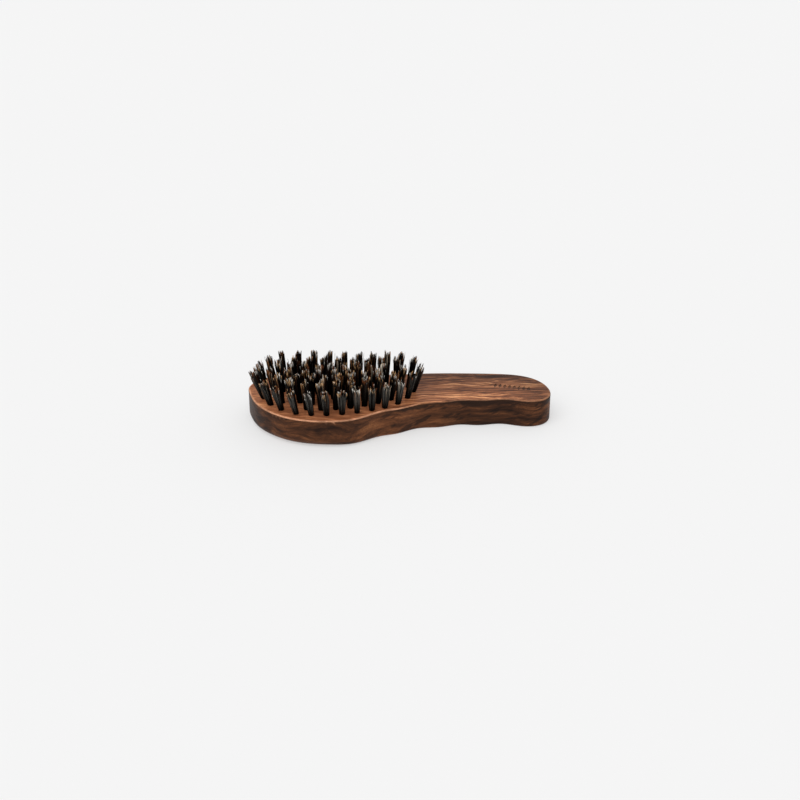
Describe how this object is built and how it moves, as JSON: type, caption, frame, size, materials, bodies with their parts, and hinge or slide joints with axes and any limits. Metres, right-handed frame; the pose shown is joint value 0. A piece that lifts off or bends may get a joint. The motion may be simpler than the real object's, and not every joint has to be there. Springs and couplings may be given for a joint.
{
  "type": "beard brush",
  "caption": "Wooden beard brush with a contoured handle and a head of dark natural bristle tufts.",
  "frame": {"origin": "middle of the brush's box on the surface that its back rests on", "axes": "+Z from the back of the brush to the bristle tips, +X from the head to the end of the handle, -Y the finger side of the handle"},
  "size_m": [0.1619, 0.058, 0.0332],
  "materials": {
    "oiled_wood": "dark oiled hardwood, satin",
    "bristle": "natural bristle, near black with brown and pale strands",
    "anchor_wire": "drawn flat wire"
  },
  "bodies": {
    "root": {"tuft_anchors": "anchor_wire", "tuft_outer_01": "bristle", "tuft_outer_02": "bristle", "tuft_outer_03": "bristle", "tuft_outer_04": "bristle", "tuft_outer_05": "bristle", "tuft_outer_06": "bristle", "tuft_outer_07": "bristle", "tuft_outer_08": "bristle", "tuft_outer_09": "bristle", "tuft_outer_10": "bristle", "tuft_outer_11": "bristle", "tuft_outer_12": "bristle", "tuft_outer_13": "bristle", "tuft_outer_14": "bristle", "tuft_outer_15": "bristle", "tuft_outer_16": "bristle", "tuft_outer_17": "bristle", "tuft_outer_18": "bristle", "tuft_outer_19": "bristle", "tuft_outer_20": "bristle", "tuft_outer_21": "bristle", "tuft_outer_22": "bristle", "tuft_outer_23": "bristle", "tuft_outer_24": "bristle", "tuft_outer_25": "bristle", "tuft_second_01": "bristle", "tuft_second_02": "bristle", "tuft_second_03": "bristle", "tuft_second_04": "bristle", "tuft_second_05": "bristle", "tuft_second_06": "bristle", "tuft_second_07": "bristle", "tuft_second_08": "bristle", "tuft_second_09": "bristle", "tuft_second_10": "bristle", "tuft_second_11": "bristle", "tuft_second_12": "bristle", "tuft_second_13": "bristle", "tuft_second_14": "bristle", "tuft_second_15": "bristle", "tuft_second_16": "bristle", "tuft_second_17": "bristle", "tuft_second_18": "bristle", "tuft_second_19": "bristle", "tuft_second_20": "bristle", "tufts_centre_row": "bristle", "tufts_third_01": "bristle", "tufts_third_02": "bristle", "tufts_third_03": "bristle", "tufts_third_04": "bristle", "tufts_third_05": "bristle", "tufts_third_06": "bristle", "tufts_third_07": "bristle", "tufts_third_08": "bristle", "wood_body": "oiled_wood"}
  },
  "joints": []
}
